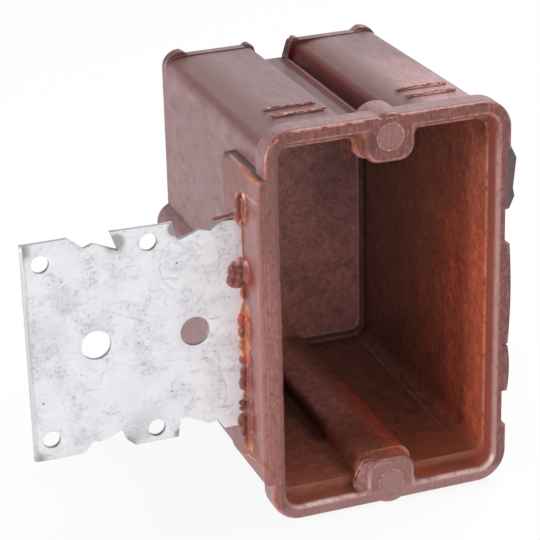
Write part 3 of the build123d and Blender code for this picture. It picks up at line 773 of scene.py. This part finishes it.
def lumps(blobs, voxel, rough, seed):
    """One closed skin round a set of ellipsoids, remeshed, roughened and kept behind the rim's face."""
    bm = bmesh.new()
    for centre, radii in blobs:
        place = Matrix.Translation(centre) @ Matrix.Diagonal((*radii, 1.0))
        bmesh.ops.create_icosphere(bm, subdivisions=3, radius=1.0, matrix=place)
    mesh = bpy.data.meshes.new("lumps")
    bm.to_mesh(mesh)
    bm.free()
    work = bpy.data.objects.new("lumps", mesh)
    bpy.context.scene.collection.objects.link(work)
    remesh = work.modifiers.new("skin", "REMESH")
    remesh.mode = "VOXEL"
    remesh.voxel_size = voxel
    soften = work.modifiers.new("soften", "SMOOTH")
    soften.factor = 0.5
    soften.iterations = 3
    bpy.context.view_layer.update()
    made = bpy.data.meshes.new_from_object(work.evaluated_get(bpy.context.evaluated_depsgraph_get()))
    bpy.data.objects.remove(work)
    for v in made.vertices:
        p = v.co.copy()
        p = p + rough * noise.noise_vector(p / 0.9 + Vector((seed, 0, 0)))
        v.co = Vector((p.x, max(p.y, 0.03), p.z)) * MM
    return made


def refine(bm, longest):
    """Cut every edge longer than this until none is left."""
    for _ in range(8):
        long_edges = [e for e in bm.edges if e.calc_length() > longest]
        if not long_edges:
            break
        bmesh.ops.subdivide_edges(bm, edges=long_edges, cuts=1)
        bmesh.ops.triangulate(bm, faces=[f for f in bm.faces if len(f.verts) > 3])


def bracket_mesh():
    """The bracket's solid with rolled edges, slightly warped, its cut teeth bent as the real ones are."""
    bm = bmesh.new()
    bm.from_mesh(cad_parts["mounting_bracket"].data)
    bmesh.ops.scale(bm, vec=(1 / MM,) * 3, verts=bm.verts)
    bmesh.ops.remove_doubles(bm, verts=bm.verts, dist=1e-4)
    bmesh.ops.dissolve_limit(bm, angle_limit=math.radians(1.0), verts=bm.verts, edges=bm.edges)
    rims = [e for e in bm.edges if len(e.link_faces) == 2 and e.calc_face_angle() > math.radians(50)
            and abs(e.verts[0].co.y - e.verts[1].co.y) < 1e-3]
    bmesh.ops.bevel(bm, geom=rims, offset=0.28, segments=3, profile=0.5, affect="EDGES", clamp_overlap=True)
    bmesh.ops.triangulate(bm, faces=bm.faces)
    refine(bm, 2.0)
    for v in bm.verts:
        p = v.co
        free = min(1.0, max(0.0, (PAD_X - 1.0 - p.x) / 10.0))
        bend = 0.22 * free * noise.noise(Vector((p.x / 22.0, 0.0, p.z / 22.0)))
        for (place_x, place_z), reach, push in BENDS:
            gap = math.hypot(p.x - place_x, p.z - place_z)
            bend += push * max(0.0, 1.0 - gap / reach) ** 2
        p.y += bend
    bmesh.ops.recalc_face_normals(bm, faces=bm.faces)
    bmesh.ops.scale(bm, vec=(MM,) * 3, verts=bm.verts)
    mesh = bpy.data.meshes.new("bracket_sheet")
    bm.to_mesh(mesh)
    bm.free()
    return mesh


def bracket_blobs():
    """Flash where the bracket enters the pad: lumps, then thin even runs that join them."""
    def run(low, high, step, blob):
        return tuple(blob(z) for z in np.arange(low, high, step).tolist())

    on_sheet = run(-30.5, 4.6, 0.9,
                   lambda z: ((-31.0, 9.8, z), (0.66 + 0.20 * math.sin(3.1 * z), 0.42, 0.95)))
    on_pad = run(-30.5, 4.6, 1.1,
                 lambda z: ((-30.5, 8.7, z), (0.27, 1.5 + 0.6 * math.sin(2.3 * z + 1.0), 1.1)))
    bead = run(-31.0, 24.5, 1.0, lambda z: ((-30.70, 9.80, z), (0.30, 0.30, 1.2)))
    return ON_SHEET + on_sheet + ON_PAD + on_pad + bead


def score_blobs():
    """Torn crests of the four scored ribs."""
    draw = random.Random(5)
    blobs = []
    for start in (-19.7, 12.1):
        for depth in (19.3, 24.5):
            reach = 0.0
            while reach < 12.0:
                long = draw.uniform(0.5, 1.3)
                height = 43.05 - 0.0096 * depth + 0.30 + draw.uniform(-0.05, 0.12)
                centre = (start + reach, depth + draw.uniform(-0.25, 0.15), height)
                blobs.append((centre, (long, draw.uniform(0.20, 0.46), draw.uniform(0.14, 0.36))))
                reach += long * draw.uniform(0.7, 1.9)
    return blobs


def strung(points, step=0.35, wobble=0.04, seed=1):
    """Beads along a broken line of points and radii."""
    draw = random.Random(seed)
    blobs = []
    for (a, ra), (b, rb) in zip(points, points[1:]):
        a, b = Vector(a), Vector(b)
        count = max(1, round((b - a).length / step))
        for n in range(count):
            share = n / count
            radius = (ra + (rb - ra) * share) * draw.uniform(0.75, 1.25)
            place = a.lerp(b, share) + Vector([draw.uniform(-wobble, wobble) for _ in range(3)])
            blobs.append((tuple(place), (radius, radius, radius)))
    return blobs


def disc_burrs():
    """Thin uneven burr standing in the groove round each boss disc."""
    blobs = []
    for side in (1, -1):
        ring = []
        for n in range(25):
            turn = n / 24 * math.tau
            centre = (DISC_RADIUS * math.cos(turn), 0.20, side * BOSS_Z + DISC_RADIUS * math.sin(turn))
            ring.append((centre, 0.32))
        blobs += strung(ring, step=0.30, seed=3)
    return blobs


def build_pieces():
    moulding = Moulding().dressed()
    flash = flash_finish()
    raw = burr_finish("raw_resin", RAW_DARK, RAW_LIGHT)
    ring = burr_finish("pressed_ring", RING_DARK, RING_LIGHT)
    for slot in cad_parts["box_body"].material_slots:
        slot.material = moulding
    sheet = add_object("bracket_sheet", bracket_mesh(), zinc_finish(), sharp_angle=40.0)
    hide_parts("mounting_bracket")
    # resin pieces: name, blobs, voxel, roughness, seed and finish
    resin_pieces = (
        ("bracket_flash", bracket_blobs(), 0.16, 0.14, 3.0, flash),
        ("score_tears", score_blobs(), 0.12, 0.10, 5.0, raw),
        ("foot_burr", strung(FOOT, wobble=0.10), 0.14, 0.10, 7.0, raw),
        ("boss_curl", strung(CURL), 0.09, 0.04, 9.0, raw),
        ("boss_lumps", BESIDE_BOSS, 0.16, 0.12, 11.0, moulding),
        ("rim_burrs", [(place, (r, r * 0.8, r)) for place, r in RIM_BURRS], 0.09, 0.06, 13.0, raw),
        ("disc_burrs", disc_burrs(), 0.08, 0.03, 15.0, ring))
    for name, blobs, voxel, rough, seed, finish in resin_pieces:
        add_object(name, lumps(blobs, voxel, rough, seed), finish)


def place_camera():
    """The photograph's view: direction, roll and the place of the row origin in its square frame."""
    azimuth, elevation, roll = math.radians(AZIMUTH), math.radians(ELEVATION), math.radians(ROLL)
    across, down = (place - FRAME_PX / 2 for place in ORIGIN_PX)
    forward = Vector((math.sin(azimuth) * math.cos(elevation), math.cos(azimuth) * math.cos(elevation),
                      -math.sin(elevation)))
    level = forward.cross(Vector((0, 0, 1))).normalized()
    rise = level.cross(forward)
    right = level * math.cos(roll) + rise * math.sin(roll)
    up = rise * math.cos(roll) - level * math.sin(roll)
    place = (right * (-across * CAMERA_DEPTH / FOCAL_PX) + up * (down * CAMERA_DEPTH / FOCAL_PX)
             - forward * CAMERA_DEPTH)
    data = bpy.data.cameras.new("camera")
    data.sensor_width = SENSOR
    data.lens = FOCAL_PX * SENSOR / FRAME_PX
    data.clip_start, data.clip_end = 0.01, 20.0
    camera = bpy.data.objects.new("camera", data)
    camera.matrix_world = Matrix((
        (right.x, up.x, -forward.x, place.x * MM),
        (right.y, up.y, -forward.y, place.y * MM),
        (right.z, up.z, -forward.z, place.z * MM),
        (0, 0, 0, 1)))
    bpy.context.scene.collection.objects.link(camera)
    bpy.context.scene.camera = camera


def soft_lamp(name, place, size, watts):
    """A round lamp aimed at the middle of the box; place and size are metres."""
    data = bpy.data.lights.new(name, "AREA")
    data.shape = "DISK"
    data.size = size
    data.energy = watts
    lamp = bpy.data.objects.new(name, data)
    lamp.location = place
    target = Vector((-0.01, 0.03, 0.0))
    lamp.rotation_euler = (target - Vector(place)).to_track_quat("-Z", "Y").to_euler()
    bpy.context.scene.collection.objects.link(lamp)


def bare_tree(owner):
    """Empty node tree of a world or material: the tree, its camera rays and its glossy rays."""
    owner.use_nodes = True
    tree = owner.node_tree
    tree.nodes.clear()
    rays = tree.nodes.new("ShaderNodeLightPath").outputs
    return tree, Wire(rays["Is Camera Ray"]), Wire(rays["Is Glossy Ray"])


def room_light():
    """White to the camera; a dim room with one pale screen to a glossy surface; an even fill to the rest."""
    world = bpy.data.worlds.new("studio")
    bpy.context.scene.world = world
    tree, seen, glossy = bare_tree(world)
    aim = Wire(tree.nodes.new("ShaderNodeTexCoord").outputs["Generated"])
    screen = aim.make("ShaderNodeVectorMath", {"operation": "DOT_PRODUCT"},
                      {0: aim, 1: tuple(Vector(SCREEN).normalized())}, out="Value")
    room = ROOM + (SCREEN_GLOW - ROOM) * screen.up(0.80, 0.93)
    level = AMBIENT + (room - AMBIENT) * glossy
    light = seen.make("ShaderNodeBackground", None,
                      {"Color": (1.0, 1.0, 1.0), "Strength": level + (1.0 - level) * seen})
    plug(tree.nodes.new("ShaderNodeOutputWorld").inputs["Surface"], light)


def paper_floor():
    """Pale paper under the box: nearly white to the camera, and dimmer behind the box in reflections."""
    mesh = bpy.data.meshes.new("floor")
    corners = [(x * PAPER_REACH, y * PAPER_REACH, FLOOR_Z * MM)
               for x, y in ((-1, -1), (1, -1), (1, 1), (-1, 1))]
    mesh.from_pydata(corners, [], [(0, 1, 2, 3)])
    floor = bpy.data.objects.new("floor", mesh)
    bpy.context.scene.collection.objects.link(floor)
    paper = bpy.data.materials.new("pale_paper")
    tree, seen, glossy = bare_tree(paper)
    place = Wire(tree.nodes.new("ShaderNodeTexCoord").outputs["Object"])
    depth = place.make("ShaderNodeSeparateXYZ", None, {0: place}, out="Y")
    reflected = 0.50 + 0.55 * depth.up(0.08, -0.03)
    level = reflected + (1.0 - reflected) * seen
    matt = seen.make("ShaderNodeBsdfDiffuse", None, {"Color": PAPER})
    glow = seen.make("ShaderNodeEmission", None, {"Color": level, "Strength": 1.0})
    mixed = seen.make("ShaderNodeMixShader", None, {0: (seen * 0.9).either(glossy * 0.95), 1: matt, 2: glow})
    plug(tree.nodes.new("ShaderNodeOutputMaterial").inputs["Surface"], mixed)
    mesh.materials.append(paper)


def studio():
    bpy.context.scene.view_settings.view_transform = "Standard"
    room_light()
    paper_floor()
    soft_lamp("top_box", (0.36, 0.10, 0.70), 0.5, 6.0)
    soft_lamp("left_box", (-0.86, -0.06, 0.10), 0.45, 8.8)
    soft_lamp("front_box", (-0.10, -0.9, 0.35), 0.5, 0.8)


place_camera()
studio()
build_pieces()
